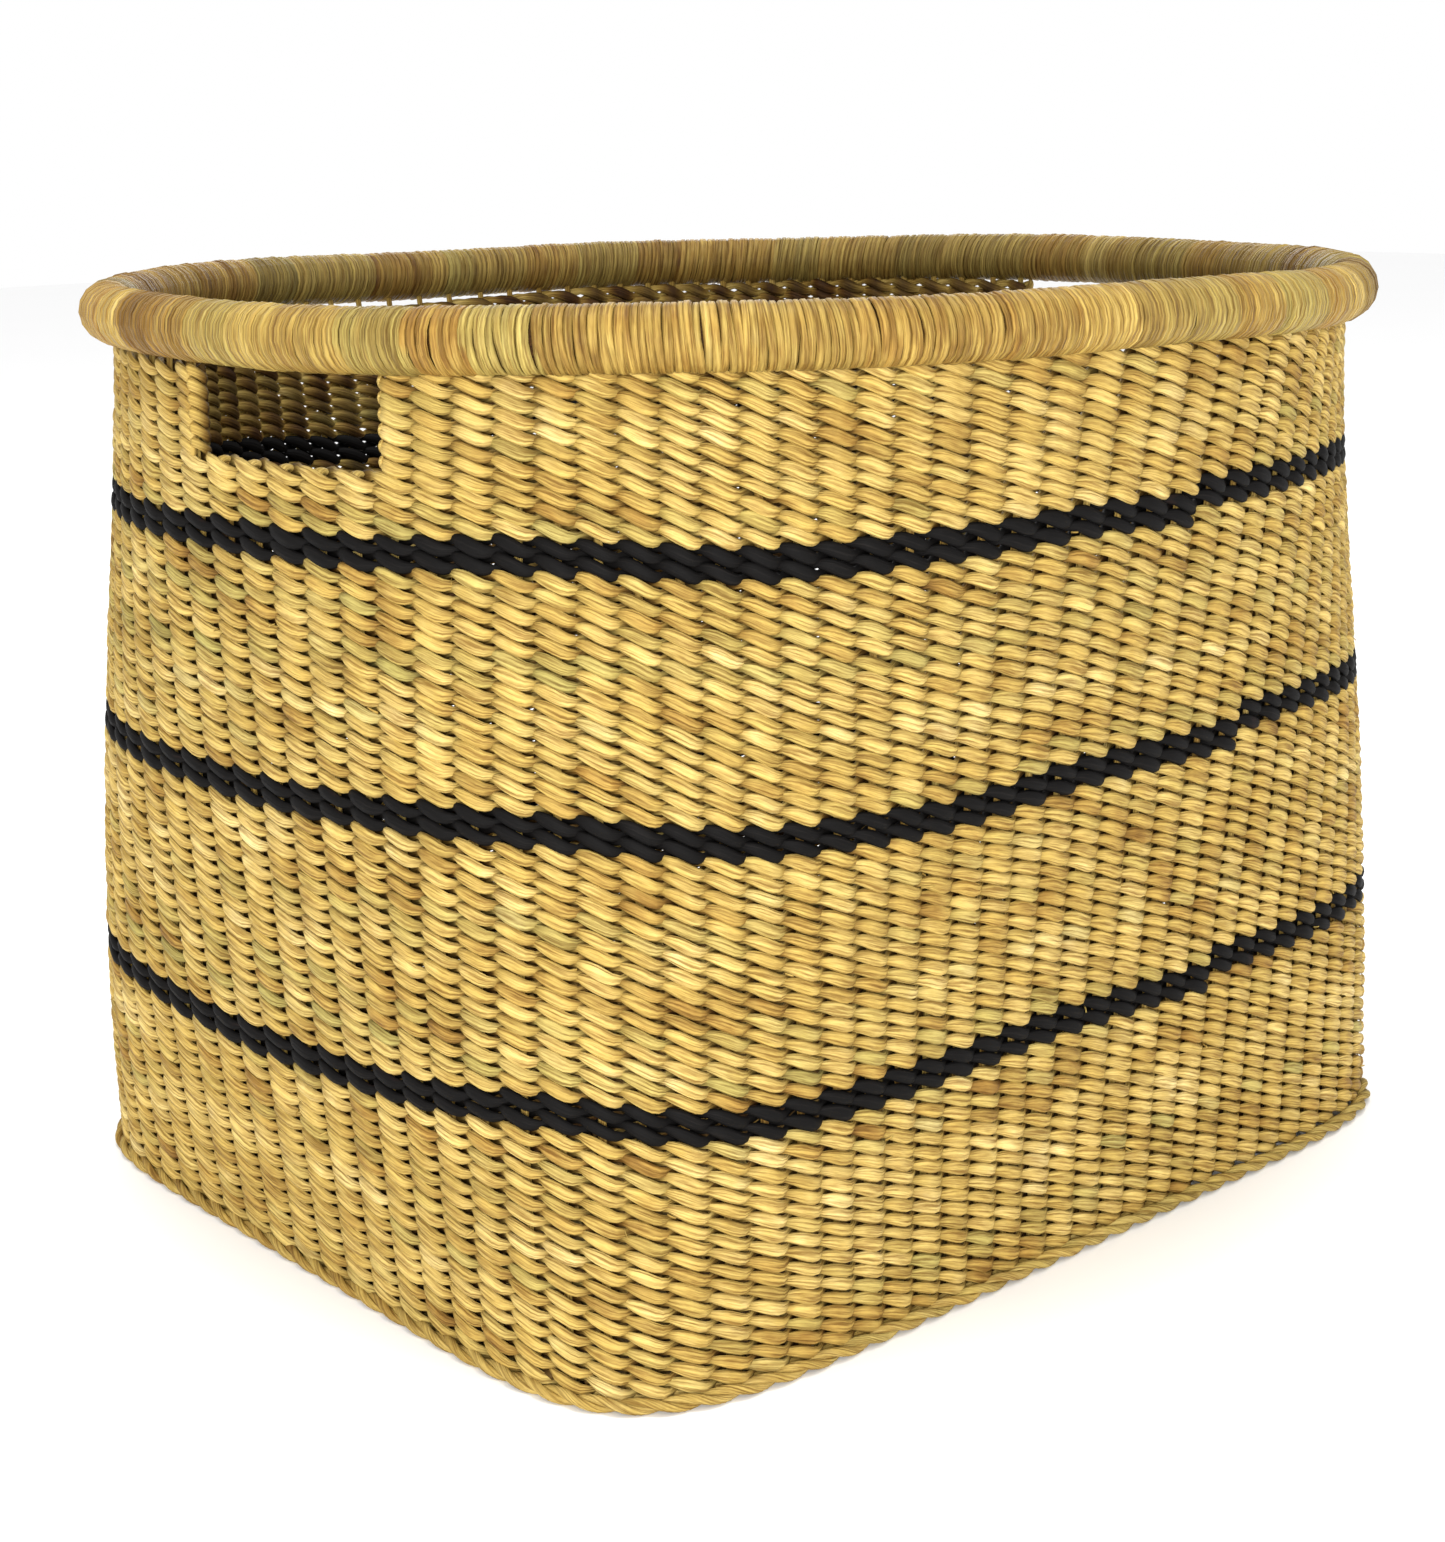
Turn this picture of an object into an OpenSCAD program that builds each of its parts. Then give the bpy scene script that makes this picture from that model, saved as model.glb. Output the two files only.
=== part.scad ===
// Woven market basket of twined elephant grass.
// A rectangular twined base turns up through its stakes into walls that round off towards a nearly
// oval mouth, with three dyed bands, a thick wrapped rim and a hand hole at each end.
// Millimetres, +Z up, origin under the middle of the basket at the surface that it stands on.
// +X and -X are the ends with the hand holes; -Y is the front.

/* [Outline] */
// Length of the wall along X at the bottom, outside
base_length = 424; // [340:0.2:500]
// Width of the wall along Y at the bottom, outside
base_width = 360; // [300:0.2:420]
// Length half-way up, outside
middle_length = 447.4; // [360:0.2:520]
// Width half-way up, outside
middle_width = 379.4; // [310:0.2:450]
// Length at the mouth, outside
mouth_length = 452.6; // [360:0.2:520]
// Width at the mouth, outside
mouth_width = 422.8; // [320:0.2:480]
// How square the outline is at the bottom (2 is an ellipse)
base_squareness = 7.0; // [3:0.1:8]
// How square it is half-way up
middle_squareness = 3.7; // [2.5:0.1:5]
// How square it is at the mouth
mouth_squareness = 2.22; // [2:0.01:3]
// Height of the woven wall, under the rim
wall_height = 318.6; // [260:0.2:360]

/* [Weave] */
// Height of one twined row
row_pitch = 5.3; // [4.6:0.02:5.8]
// Rows in the dyed bands
dyed_rows = 2; // [1:1:4]
// Thickness of the weft strand on each side of the stakes
strand = 2.7; // [2:0.1:3.5]
// Thickness of a stake, through the wall
stake_depth = 1.8; // [1.2:0.1:2.4]
// Width of a stake, along the wall
stake_width = 2.6; // [1.6:0.1:3.4]
// Space between the stakes and the weft
ease = 0.3; // [0.2:0.05:0.5]

/* [Rim and foot] */
// Radius of the wrapped rim
rim_radius = 10.6; // [8:0.1:14]
// Thickness of the strand wrapped round the rim
rim_wrap_depth = 2.2; // [1.4:0.1:3]
// Distance from the wall's outer face out to the middle of the rim
rim_offset = 0.6; // [0:0.1:3]
// Thickness of the twisted rope round the foot
rope = 5.6; // [5:0.1:9]

/* [Hand holes] */
// Rows left out at each hand hole
hole_rows = 6; // [4:1:8]
// Stakes cut short under each hole
cut_stakes = 5; // [3:2:7]
// Angle between a side of a hole and the stake beside it, seen from the middle of the basket
hole_side = 0.65; // [0.5:0.05:1]
// How far the weft bulges where it turns back at the side of a hole
turn_depth = 2.6; // [1.6:0.1:3.4]
// Height of the folded stake ends under a hole
stub_height = 2.0; // [1.2:0.1:2.6]

/* [Hidden] */

natural = [0.80, 0.66, 0.38];
shade = [0.72, 0.57, 0.32];
dyed = [0.06, 0.06, 0.07];

n_stakes = 100;
n_ring = 96;
n_rim = 64;
base_stake_pitch = 16.2;

// Depths through the wall, measured inward from its outer face.
stake_out = strand + ease;
stake_in = stake_out + stake_depth;
inner_out = stake_in + ease;
wall_depth = inner_out + strand;

// Heights of the base's layers and of the first weft row above the rope.
base_low = 1.2;
base_stake_low = base_low + strand + ease;
base_high = base_stake_low + stake_depth + ease;
outer_low = rope + ease;

// The row boundaries, counted down from the rim, split the wall into seven bands.
top_rows = 9;
band_5_rows = 14;
band_3_rows = 15;
z7 = wall_height - top_rows * row_pitch;
z6 = z7 - dyed_rows * row_pitch;
z5 = z6 - band_5_rows * row_pitch;
z4 = z5 - dyed_rows * row_pitch;
z3 = z4 - band_3_rows * row_pitch;
z2 = z3 - dyed_rows * row_pitch;
joint_gap = 0.1;

hole_low = wall_height - hole_rows * row_pitch;
// The stake in the middle of each hole.
hole_right = 0;
hole_left = 52;
rim_z = wall_height + 0.2 + rim_radius;
core_radius = rim_radius - rim_wrap_depth - 0.2;

// The value at height z of a measure given at the bottom, half-way up and at the mouth.
function along(low, mid, high, z) =
    let (s = z / wall_height)
    low * (1 - s) * (1 - 2 * s) + mid * 4 * s * (1 - s) + high * s * (2 * s - 1);

// Point of the wall at polar angle t and height z, d inside its outer face along the outline's normal.
function wall_point(t, z, d) =
    let (
        a = along(base_length, middle_length, mouth_length, z) / 2,
        b = along(base_width, middle_width, mouth_width, z) / 2,
        n = along(base_squareness, middle_squareness, mouth_squareness, z),
        r = pow(pow(abs(cos(t)) / a, n) + pow(abs(sin(t)) / b, n), -1 / n),
        x = r * cos(t),
        y = r * sin(t),
        gx = sign(x) * pow(abs(x) / a, n - 1) / a,
        gy = sign(y) * pow(abs(y) / b, n - 1) / b,
        g = norm([gx, gy])
    )
    [x - d * gx / g, y - d * gy / g];

// How closely the stakes stand at polar angle t: closer at the corners and wider at the ends.
function closeness(t) = 1.0175 - 0.085 * cos(2 * t) - 0.1025 * cos(4 * t);

// Pairs of the stakes passed and the polar angle, from 0 to 360 degrees, half-way up the wall.
function outline_step(t) =
    norm(wall_point(t + 1, wall_height / 2, 0) - wall_point(t, wall_height / 2, 0));
passed = [for (sum = 0, t = 0; t <= 360; sum = sum + closeness(t + 0.5) * outline_step(t), t = t + 1)
    [sum, t]];

// Polar angle of stake k, counted from the +X end and anticlockwise.
function stake_angle(k) =
    let (turns = floor(k / n_stakes))
    360 * turns + lookup((k / n_stakes - turns) * passed[360][0], passed);

// Polar angle of the side of the hole at stake c; side is -1 or 1.
function hole_edge(c, side) = stake_angle(c + side * (cut_stakes + 1) / 2) - side * hole_side;

// Heading of the outline at angle t, going round anticlockwise.
function heading(t, z) =
    let (p = wall_point(t - 0.1, z, 0), q = wall_point(t + 0.1, z, 0))
    atan2(q[1] - p[1], q[0] - p[0]);

function at_height(p, z) = [p[0], p[1], z];

// Outline of the wall at height z, d inside its outer face.
function outline(z, d) = [for (k = [0:n_ring - 1]) wall_point(k * 360 / n_ring, z, d)];

// Faces of a tube made of closed rings of m points each; wraps round when closed is true.
function tube_faces(rings, m, closed) = concat(
    [for (i = [0:rings - (closed ? 1 : 2)], j = [0:m - 1])
        let (a = i * m + j, b = i * m + (j + 1) % m,
             c = ((i + 1) % rings) * m + (j + 1) % m, d = ((i + 1) % rings) * m + j)
        each [[a, b, c], [a, c, d]]],
    closed ? [] : [
        [for (j = [m - 1:-1:0]) j],
        [for (j = [0:m - 1]) (rings - 1) * m + j]
    ]
);

// Ring through the wall with a section given as [depth, height] pairs.
module wall_ring(section) {
    polyhedron(
        points = [for (k = [0:n_ring - 1], p = section)
            at_height(wall_point(k * 360 / n_ring, p[1], p[0]), p[1])],
        faces = tube_faces(n_ring, len(section), true)
    );
}

// Band of weft between two depths and two heights, following the wall's slope.
module weft(d0, d1, low, high) {
    middle = (low + high) / 2;
    wall_ring([[d0, low], [d1, low], [d1, high], [d0, high], [d0, middle]]);
}

// Low band of weft with upright sides.
module low_weft(d0, d1, low, high) {
    translate([0, 0, low])
        linear_extrude(high - low)
            difference() {
                polygon(outline((low + high) / 2, d0));
                polygon(outline((low + high) / 2, d1));
            }
}

module outer_weft(low, high) {
    weft(0, strand, low, high - joint_gap);
}

module inner_weft(low, high) {
    weft(inner_out, wall_depth, low, high - joint_gap);
}

module outer_band(low, high) {
    low_weft(0, strand, low, high - joint_gap);
}

module inner_band(low, high) {
    low_weft(inner_out, wall_depth, low, high - joint_gap);
}

// Space of the hand hole at stake c, a wedge whose sides run to the middle of the basket.
module hole_wedge(c) {
    reach = 300;
    low = hole_edge(c, -1);
    high = hole_edge(c, 1);
    translate([0, 0, hole_low - joint_gap])
        linear_extrude(60)
            polygon([
                [0, 0],
                [reach * cos(low), reach * sin(low)],
                [reach * cos(high), reach * sin(high)]
            ]);
}

// True for a stake that is cut short under a hand hole.
function is_cut(k) =
    min([for (c = [hole_left, hole_right, hole_right + n_stakes]) abs(k - c)]) < (cut_stakes + 1) / 2;

// One wall stake, a flat strip that follows the slope.
module stake(k) {
    t = stake_angle(k);
    top = is_cut(k) ? hole_low - joint_gap : wall_height + 3;
    levels = [for (i = [0:7]) base_stake_low + (top - base_stake_low) * i / 7];
    polyhedron(
        points = [for (z = levels)
            let (half = stake_width / 2 / norm(wall_point(t, z, 0)) * 180 / PI)
            each [
                at_height(wall_point(t - half, z, stake_out), z),
                at_height(wall_point(t + half, z, stake_out), z),
                at_height(wall_point(t + half, z, stake_in), z),
                at_height(wall_point(t - half, z, stake_in), z)
            ]],
        faces = tube_faces(len(levels), 4, false)
    );
}

module stakes(first) {
    for (i = [0:n_stakes / 4 - 1]) stake((first + i) % n_stakes);
}

// Weft strands that turn back round the last stake at both sides of a hand hole.
module hole_turns(c) {
    for (side = [-1, 1], i = [0:hole_rows - 1]) {
        angle = hole_edge(c, side) - side * 0.03;
        low = hole_low + i * row_pitch;
        centre = wall_point(angle, low, wall_depth / 2);
        translate([centre[0], centre[1], low + 0.1])
            rotate([0, 0, heading(angle, low)])
                linear_extrude(row_pitch - 0.3)
                    polygon([for (v = [0:10:180])
                        [-side * turn_depth * sin(v), wall_depth / 2 * cos(v)]]);
    }
}

// Cut stake ends, folded over the top row under a hand hole.
module hole_stubs(c) {
    reach = (cut_stakes - 1) / 2;
    for (i = [-reach:reach]) {
        angle = stake_angle(c + i);
        centre = wall_point(angle, hole_low, wall_depth / 2);
        translate([centre[0], centre[1], hole_low])
            rotate([0, 0, heading(angle, hole_low)])
                rotate([90, 0, 0])
                    linear_extrude(wall_depth - 0.4, center = true)
                        polygon([for (v = [0:15:180]) [2.3 * cos(v), stub_height * sin(v)]]);
    }
}

// Ring round the mouth with a section given as [outward, upward] pairs about the rim's middle line.
module rim_ring(section) {
    polyhedron(
        points = [for (k = [0:n_rim - 1], p = section)
            at_height(wall_point(k * 360 / n_rim, wall_height, -rim_offset - p[0]), rim_z + p[1])],
        faces = tube_faces(n_rim, len(section), true)
    );
}

// Layer of the rope: a flat ring from depth inner out to depth outer.
module rope_layer(inner, outer, low, high) {
    translate([0, 0, low])
        linear_extrude(high - low)
            difference() {
                polygon(outline(0, outer));
                polygon(outline(0, inner));
            }
}

module foot_rope() color(shade) {
    inner = strand;
    outer = inner - rope;
    rope_layer(inner - 1.4, outer + 1.4, 0, 1.2);
    rope_layer(inner, outer, 1.2, rope - 1.2);
    rope_layer(inner - 1.4, outer + 1.4, rope - 1.2, rope);
}

module base_weave_lower() color(shade)
    translate([0, 0, base_low]) linear_extrude(strand) polygon(outline(0, stake_out));

module base_weave_upper() color(shade)
    translate([0, 0, base_high]) linear_extrude(strand) polygon(outline(0, wall_depth + ease));

module base_stakes() color(natural)
    for (k = [-10:10]) {
        y = k * base_stake_pitch;
        inset = stake_in + ease;
        part = pow(abs(y) / (base_width / 2 - inset), base_squareness);
        end = (base_length / 2 - inset) * pow(1 - part, 1 / base_squareness);
        translate([-end, y - stake_width / 2, base_stake_low])
            cube([2 * end, stake_width, stake_depth]);
    }

module stakes_front() color(natural) stakes(62);
module stakes_right() color(natural) stakes(87);
module stakes_back() color(natural) stakes(12);
module stakes_left() color(natural) stakes(37);

module weft_outer_1_natural() color(natural) outer_weft(outer_low, z2);
module weft_outer_2_black() color(dyed) outer_band(z2, z3);
module weft_outer_3_natural() color(natural) outer_weft(z3, z4);
module weft_outer_4_black() color(dyed) outer_band(z4, z5);
module weft_outer_5_natural() color(natural) outer_weft(z5, z6);
module weft_outer_6_black() color(dyed) outer_band(z6, z7);
module weft_outer_7_natural() color(natural) difference() {
    outer_weft(z7, wall_height + joint_gap);
    hole_wedge(hole_right);
    hole_wedge(hole_left);
}

module weft_inner_1_natural() color(shade) inner_weft(base_high, z2);
module weft_inner_2_black() color(dyed) inner_band(z2, z3);
module weft_inner_3_natural() color(shade) inner_weft(z3, z4);
module weft_inner_4_black() color(dyed) inner_band(z4, z5);
module weft_inner_5_natural() color(shade) inner_weft(z5, z6);
module weft_inner_6_black() color(dyed) inner_band(z6, z7);
module weft_inner_7_natural() color(shade) difference() {
    inner_weft(z7, wall_height + joint_gap);
    hole_wedge(hole_right);
    hole_wedge(hole_left);
}

module hole_turns_right() color(natural) hole_turns(hole_right);
module hole_turns_left() color(natural) hole_turns(hole_left);
module hole_stubs_right() color(shade) hole_stubs(hole_right);
module hole_stubs_left() color(shade) hole_stubs(hole_left);

module rim_core() color(shade)
    rim_ring([for (v = [0:30:330]) core_radius * [cos(v), sin(v)]]);

// The wrapping strand, open underneath where the stakes go up into the core.
module rim_wrap() color(natural)
    rim_ring(concat(
        [for (v = [254:25:579]) rim_radius * [cos(v), sin(v)]],
        [for (v = [579:-32.5:254]) (rim_radius - rim_wrap_depth) * [cos(v), sin(v)]]
    ));

foot_rope();
base_weave_lower();
base_stakes();
base_weave_upper();
stakes_front();
stakes_right();
stakes_back();
stakes_left();
weft_outer_1_natural();
weft_outer_2_black();
weft_outer_3_natural();
weft_outer_4_black();
weft_outer_5_natural();
weft_outer_6_black();
weft_outer_7_natural();
weft_inner_1_natural();
weft_inner_2_black();
weft_inner_3_natural();
weft_inner_4_black();
weft_inner_5_natural();
weft_inner_6_black();
weft_inner_7_natural();
hole_turns_right();
hole_turns_left();
hole_stubs_right();
hole_stubs_left();
rim_core();
rim_wrap();
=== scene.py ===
"""Woven market basket of twined elephant grass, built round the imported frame."""

import math

import bpy
import numpy as np
from bpy.props import FloatProperty, FloatVectorProperty, IntProperty, PointerProperty
from mathutils import Matrix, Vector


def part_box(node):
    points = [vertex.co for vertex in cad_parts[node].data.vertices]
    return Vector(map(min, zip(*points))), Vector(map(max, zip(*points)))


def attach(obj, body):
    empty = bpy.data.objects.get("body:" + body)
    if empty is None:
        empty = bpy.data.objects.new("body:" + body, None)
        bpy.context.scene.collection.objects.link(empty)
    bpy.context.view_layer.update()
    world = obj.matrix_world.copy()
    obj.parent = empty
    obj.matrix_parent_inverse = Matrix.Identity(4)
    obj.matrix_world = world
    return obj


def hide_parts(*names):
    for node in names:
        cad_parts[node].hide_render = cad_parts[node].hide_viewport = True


bl_info = {
    "name": "Woven Market Basket",
    "version": (1, 0, 0),
    "blender": (4, 5, 0),
    "location": "3D View > Sidebar > Basket",
    "description": "Twined grass basket with dyed bands, a wrapped rim and two hand holes",
    "category": "Add Mesh",
}

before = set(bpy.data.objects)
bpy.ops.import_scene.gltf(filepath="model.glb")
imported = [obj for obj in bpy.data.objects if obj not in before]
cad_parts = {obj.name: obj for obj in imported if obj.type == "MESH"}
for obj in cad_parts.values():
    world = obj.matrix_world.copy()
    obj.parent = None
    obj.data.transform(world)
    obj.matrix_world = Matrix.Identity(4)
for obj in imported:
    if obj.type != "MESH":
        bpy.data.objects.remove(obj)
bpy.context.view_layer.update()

# Bands of the wall from the bottom up: the nodes of each one, its rows and its finish.
BANDS = (
    ("1_natural", 16, "straw"),
    ("2_black", 2, "dyed_black"),
    ("3_natural", 16, "straw"),
    ("4_black", 2, "dyed_black"),
    ("5_natural", 15, "straw"),
    ("6_black", 2, "dyed_black"),
    ("7_natural", 10, "straw"),
)
ROWS = sum(rows for name, rows, slot in BANDS)
STAKES = 100
BASE_STAKES = 21
# The stake in the middle of each hand hole, and how many stakes are cut under each.
HOLES = {"right": 0, "left": 52}
CUT_STAKES = 5
# The stake where the spiral of rows starts, and how many stakes later each band starts along it.
SPIRAL_STAKE = 79
BAND_LEAD = (0, 0, 0, 0, 0, 3, 3, 0)
# Turns of the spiral hidden behind the foot rope and under the rim.
TURNS_BELOW, TURNS_ABOVE = 1.0, 0.5
# Points along a twined strand for each stake that it passes, and round each strand's section.
POINTS_PER_STAKE = 6
STRAND_SIDES = 8
# Points along each twist of the foot rope, and round the outline where lengths are measured.
POINTS_PER_TWIST = 14
OUTLINE_POINTS = 2881
# Thickness of the wall's inner skin, and how far the base reaches past that skin's outer face.
INNER_SKIN, BASE_REACH = 0.0027, 0.0021
# How far the lowest rows draw in behind the foot rope, the height over which they do so, how far
# over the rope's top it starts, and the strands' gap to the floor.
DRAW_IN, DRAW_HEIGHT, DRAW_OVER, FLOOR_GAP = 0.0022, 0.0030, 0.0012, 0.0003
# Grass of the wall: its shade and brightness on a scale to 1, and how far lengths of grass and
# single stitches stray from them. On the scale of brightness, grass at BLACK has no light left.
GRASS_SHADE, LENGTH_STRAY, STITCH_STRAY = 0.56, 0.075, 0.035
GRASS_LIGHT, LIGHT_STRAY = 0.71, 0.04
BLACK = -0.3
UPWARD = np.array([0.0, 0.0, 1.0])


def lowest(node):
    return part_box(node)[0]


def highest(node):
    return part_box(node)[1]


def half_sizes(node):
    """Half of a node's length and width."""
    return highest(node).x, highest(node).y


def middle_height(node):
    return (lowest(node).z + highest(node).z) / 2


WALL_TOP = highest("weft_outer_7_natural").z
ROW_EDGES = np.array(
    [highest("foot_rope").z]
    + [lowest("weft_outer_" + name).z for name, rows, slot in BANDS[1:]]
    + [WALL_TOP]
)

# From the outer face of one skin of the wall to the outer face of the other, and right through.
BETWEEN_FACES = highest("weft_outer_2_black").x - highest("weft_inner_2_black").x
WALL_THROUGH = BETWEEN_FACES + INNER_SKIN


def measured_outline():
    """Half length and half width at the bottom, half-way up and at the mouth, from level nodes.

    Each is the quadratic in height through the base plate and the lowest and highest dyed bands.
    """
    nodes = ("base_weave_lower", "weft_outer_2_black", "weft_outer_6_black")
    heights = [0.0] + [middle_height(node) for node in nodes[1:]]
    inset = BETWEEN_FACES - BASE_REACH
    sizes = np.array([half_sizes(node) for node in nodes])
    sizes[0] += inset
    curve = np.polyfit(heights, sizes, 2)
    at = np.array([0.0, WALL_TOP / 2, WALL_TOP])[:, None]
    return curve[0] * at**2 + curve[1] * at + curve[2]


OUTLINE = measured_outline()


class BasketShape(bpy.types.PropertyGroup):
    """Outline of the wall, measured over its outer face."""

    bottom_length: FloatProperty(
        name="Bottom length", description="Length of the wall at the bottom",
        default=2 * OUTLINE[0, 0], unit="LENGTH",
    )
    middle_length: FloatProperty(
        name="Middle length", description="Length half-way up", default=2 * OUTLINE[1, 0],
        unit="LENGTH",
    )
    mouth_length: FloatProperty(
        name="Mouth length", description="Length at the mouth", default=2 * OUTLINE[2, 0],
        unit="LENGTH",
    )
    bottom_width: FloatProperty(
        name="Bottom width", description="Width of the wall at the bottom",
        default=2 * OUTLINE[0, 1], unit="LENGTH",
    )
    middle_width: FloatProperty(
        name="Middle width", description="Width half-way up", default=2 * OUTLINE[1, 1],
        unit="LENGTH",
    )
    mouth_width: FloatProperty(
        name="Mouth width", description="Width at the mouth", default=2 * OUTLINE[2, 1],
        unit="LENGTH",
    )
    bottom_squareness: FloatProperty(
        name="Bottom squareness", description="How square the bottom is; 2 is an ellipse",
        default=7.0, min=2.0,
    )
    middle_squareness: FloatProperty(
        name="Middle squareness", description="How square the middle is", default=3.7, min=2.0,
    )
    mouth_squareness: FloatProperty(
        name="Mouth squareness", description="How square the mouth is", default=2.22, min=2.0,
    )
    waviness: FloatProperty(
        name="Waviness", description="How far the rows rise and sag round the corners",
        default=1.0, min=0.0, max=2.0,
    )


class WeaveSettings(bpy.types.PropertyGroup):
    """Twined strands of the wall and the base."""

    strand_height: FloatProperty(
        name="Strand height", description="Height of a stitch at its fullest", default=0.0053,
        unit="LENGTH",
    )
    strand_depth: FloatProperty(
        name="Strand depth", description="Thickness of a strand through the wall", default=0.0027,
        unit="LENGTH",
    )
    pinch: FloatProperty(
        name="Pinch",
        description="Height of a strand between two stakes, as a part of its fullest",
        default=0.54, min=0.2, max=1.0,
    )
    slant: FloatProperty(
        name="Slant", description="How far a stitch rises and falls about its row", default=0.0018,
        unit="LENGTH",
    )
    stake_width: FloatProperty(
        name="Stake width", description="Width of a stake along the wall", default=0.0028,
        unit="LENGTH",
    )
    stake_depth: FloatProperty(
        name="Stake depth", description="Thickness of a stake through the wall", default=0.0018,
        unit="LENGTH",
    )
    unevenness: FloatProperty(
        name="Unevenness", description="How much stitches differ from each other", default=1.0,
        min=0.0, max=3.0,
    )
    loose_ends: IntProperty(
        name="Loose ends", description="Short cut ends standing out of the wall", default=90,
        min=1,
    )
    seed: IntProperty(name="Seed", description="Picks another set of strands", default=7)


class RimSettings(bpy.types.PropertyGroup):
    """Wrapped rim and the rope round the foot."""

    rim_radius: FloatProperty(
        name="Rim radius", description="Radius of the wrapped rim",
        default=(highest("rim_wrap").z - lowest("rim_wrap").z) / 2, unit="LENGTH",
    )
    turns: IntProperty(
        name="Turns", description="Turns of the strand wrapped round the rim", default=660,
        min=100,
    )
    wrap_depth: FloatProperty(
        name="Wrap depth", description="Thickness of the wrapped strand", default=0.0017,
        unit="LENGTH",
    )
    rope_depth: FloatProperty(
        name="Rope", description="Thickness of the rope round the foot",
        default=highest("foot_rope").z, unit="LENGTH",
    )
    rope_twists: IntProperty(
        name="Rope twists", description="Twists of the rope on its way round the foot", default=54,
        min=10,
    )


class ColourSettings(bpy.types.PropertyGroup):
    """Colours of the dried and the dyed grass."""

    # Brown: the darkest grass, and the tone that painted shade on the inner sides turns it to.
    brown: FloatVectorProperty(
        name="Brown", description="Darkest dried grass", subtype="COLOR",
        default=(0.15, 0.064, 0.012), min=0, max=1,
    )
    tan: FloatVectorProperty(
        name="Tan", description="Tanned grass", subtype="COLOR", default=(0.345, 0.203, 0.044),
        min=0, max=1,
    )
    gold: FloatVectorProperty(
        name="Gold", description="Most of the grass", subtype="COLOR",
        default=(0.492, 0.340, 0.086), min=0, max=1,
    )
    straw: FloatVectorProperty(
        name="Straw", description="Lighter grass", subtype="COLOR", default=(0.608, 0.446, 0.143),
        min=0, max=1,
    )
    cream: FloatVectorProperty(
        name="Cream", description="Palest grass", subtype="COLOR", default=(0.76, 0.61, 0.27),
        min=0, max=1,
    )
    green: FloatVectorProperty(
        name="Green", description="Grass that kept some green", subtype="COLOR",
        default=(0.33, 0.31, 0.095), min=0, max=1,
    )
    black: FloatVectorProperty(
        name="Black", description="Dyed grass", subtype="COLOR", default=(0.0055, 0.005, 0.0048),
        min=0, max=1,
    )
    floor: FloatVectorProperty(
        name="Floor", description="Floor under the basket", subtype="COLOR",
        default=(0.95, 0.95, 0.95), min=0, max=1,
    )


class ViewSettings(bpy.types.PropertyGroup):
    """Place and direction of the camera."""

    distance: FloatProperty(
        name="Distance", description="Camera's distance from the basket's upright axis",
        default=0.9549, unit="LENGTH",
    )
    azimuth: FloatProperty(
        name="Azimuth", description="Camera's direction, from the front",
        default=math.radians(-41.86), subtype="ANGLE",
    )
    height: FloatProperty(
        name="Height", description="Camera's height over the floor", default=0.3867, unit="LENGTH",
    )
    turn: FloatProperty(
        name="Turn", description="Camera turned from the basket's axis",
        default=math.radians(0.49), subtype="ANGLE",
    )
    tilt: FloatProperty(
        name="Tilt", description="Camera tilted up", default=math.radians(-14.32), subtype="ANGLE",
    )
    roll: FloatProperty(
        name="Roll", description="Camera rolled", default=math.radians(-1.07), subtype="ANGLE",
    )
    lens: FloatProperty(
        name="Lens", description="Focal length in millimetres for a frame 36 mm high",
        default=58.34,
    )


# ---------------------------------------------------------------- outline of the wall


def through_three(low, mid, high, z):
    """Quadratic in height through its values at the bottom, half-way up and at the mouth."""
    s = z / WALL_TOP
    return low * (1 - s) * (1 - 2 * s) + mid * 4 * s * (1 - s) + high * s * (2 * s - 1)


def wall_frame(angle, z, depth=0.0):
    """Points of the wall and their outward directions, for arrays of polar angle and height.

    The outline is the superellipse |x/a|^n + |y/b|^n = 1, whose half length a, half width b and
    squareness n are quadratics in height; depth is measured inward along its normal.
    """
    s = bpy.context.scene.basket_shape
    z = np.clip(z, 0.0, WALL_TOP)
    a = through_three(s.bottom_length, s.middle_length, s.mouth_length, z) / 2
    b = through_three(s.bottom_width, s.middle_width, s.mouth_width, z) / 2
    n = through_three(s.bottom_squareness, s.middle_squareness, s.mouth_squareness, z)
    c, d = np.cos(angle), np.sin(angle)
    r = (np.abs(c / a) ** n + np.abs(d / b) ** n) ** (-1 / n)
    x, y = r * c, r * d
    gx = np.sign(x) * np.abs(x / a) ** (n - 1) / a
    gy = np.sign(y) * np.abs(y / b) ** (n - 1) / b
    g = np.hypot(gx, gy)
    out = np.stack([gx / g, gy / g, np.zeros_like(x)], -1)
    flat = np.stack([x, y, np.zeros_like(x)], -1)
    return flat - np.asarray(depth)[..., None] * out, out


def distances(line):
    """Distance along a line of points from its start to each point."""
    step = np.linalg.norm(np.diff(line, axis=0), axis=1)
    return np.concatenate([[0], np.cumsum(step)])


def dense_outline(z, offset):
    """Close polar angles round the wall, and the distances to them along a line outside it."""
    dense = np.linspace(0, 2 * math.pi, OUTLINE_POINTS)
    return dense, distances(wall_frame(dense, np.full(dense.shape, z), -offset)[0])


def sideways(out):
    """Level directions along the wall, anticlockwise, for its outward directions."""
    return np.stack([-out[..., 1], out[..., 0], np.zeros(out.shape[:-1])], -1)


def about(spin, out, up):
    """Directions turned by spin from out towards up."""
    return np.cos(spin)[..., None] * out + np.sin(spin)[..., None] * up


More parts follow.
